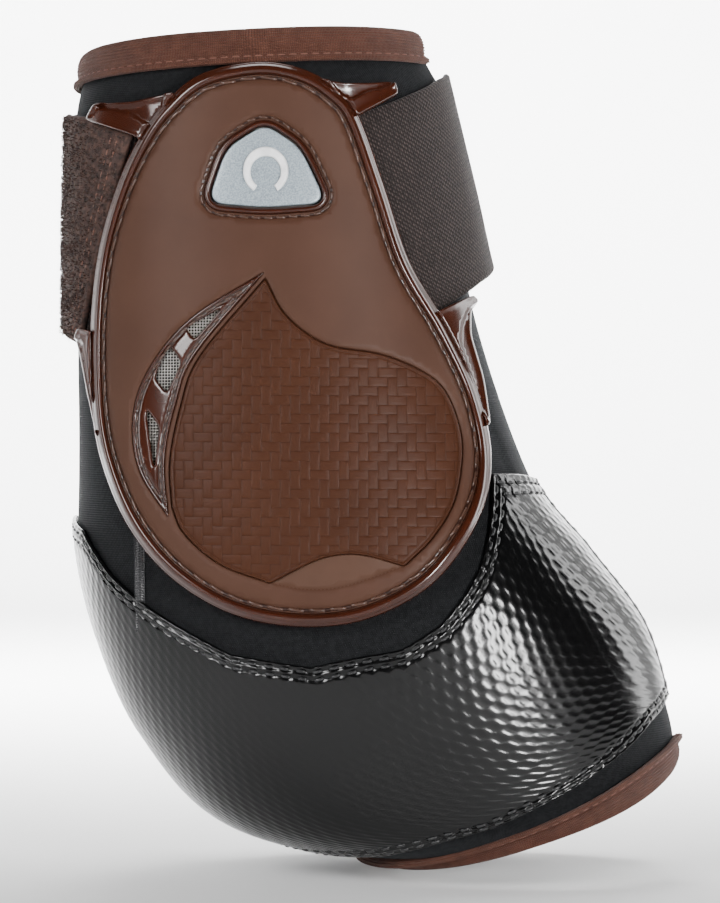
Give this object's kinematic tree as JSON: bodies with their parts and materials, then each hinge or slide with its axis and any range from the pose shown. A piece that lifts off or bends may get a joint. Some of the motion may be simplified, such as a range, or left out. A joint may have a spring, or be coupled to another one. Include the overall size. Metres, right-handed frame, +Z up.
{
  "type": "horse fetlock boot",
  "caption": "Hind fetlock boot: neoprene wrap open at the front, moulded guard on the inner side, cup over the ergot and pastern, and a hook-and-loop strap.",
  "frame": {"origin": "under the fetlock joint inside the leg passage, level with the lowest point of the rim", "axes": "+Z up the leg, +X to the front of the leg, -Y to the inner side of the leg, where the moulded guard is"},
  "size_m": [0.1755, 0.1178, 0.2346],
  "materials": {
    "neoprene": "matte black knitted face",
    "lining": "matte black perforated",
    "gel": "soft gel",
    "guard_gloss": "glossy dark brown",
    "guard_satin": "satin brown",
    "strike_pad": "satin brown with a basket weave",
    "badge_silver": "silver grey",
    "badge_white": "white relief",
    "vent_wire": "woven silver mesh",
    "binding": "ribbed brown elastic",
    "cup_cover": "glossy black embossed synthetic",
    "elastic": "ribbed brown-grey elastic",
    "pile": "fuzzy dark brown loop pile",
    "hook": "dark brown hook tape"
  },
  "bodies": {
    "boot": {"neoprene_body": "neoprene", "lining_body": "lining", "collar_binding_body": "binding", "rim_binding_body": "binding", "cup_cover_body": "cup_cover", "gel_pad": "gel", "shell_frame": "guard_gloss", "shell_face": "guard_satin", "strike_pad": "strike_pad", "badge_bezel": "guard_gloss", "badge_plate": "badge_silver", "badge_emblem": "badge_white", "vent_frame": "guard_gloss", "vent_mesh": "vent_wire", "rear_strap": "elastic", "loop_pile": "pile", "front_strap_root": "elastic"},
    "flap": {"neoprene_flap": "neoprene", "lining_flap": "lining", "collar_binding_flap": "binding", "rim_binding_flap": "binding", "cup_cover_flap": "cup_cover"},
    "strap": {"front_strap": "elastic"},
    "tail": {"strap_tail": "elastic", "hook_patch": "hook", "pull_tab": "binding"}
  },
  "joints": [
    {"name": "strap_swing", "type": "hinge", "parent": "boot", "child": "strap", "pos_m": [0.0488, -0.0233, 0.161], "axis": [0.3786, 0.2808, -0.882], "range_deg": [0, 110]},
    {"name": "tail_peel", "type": "hinge", "parent": "strap", "child": "tail", "pos_m": [0.0059, 0.0553, 0.1614], "axis": [0.0876, 0.0619, -0.9942], "range_deg": [0, 60]},
    {"name": "flap_open", "type": "hinge", "parent": "boot", "child": "flap", "pos_m": [0.005, 0.054, 0.23], "axis": [-0.1585, -0.0268, 0.987], "range_deg": [0, 44]}
  ],
  "couplings": [
    {"joint": "flap_open", "follows": "strap_swing", "ratio": 0.4}
  ]
}
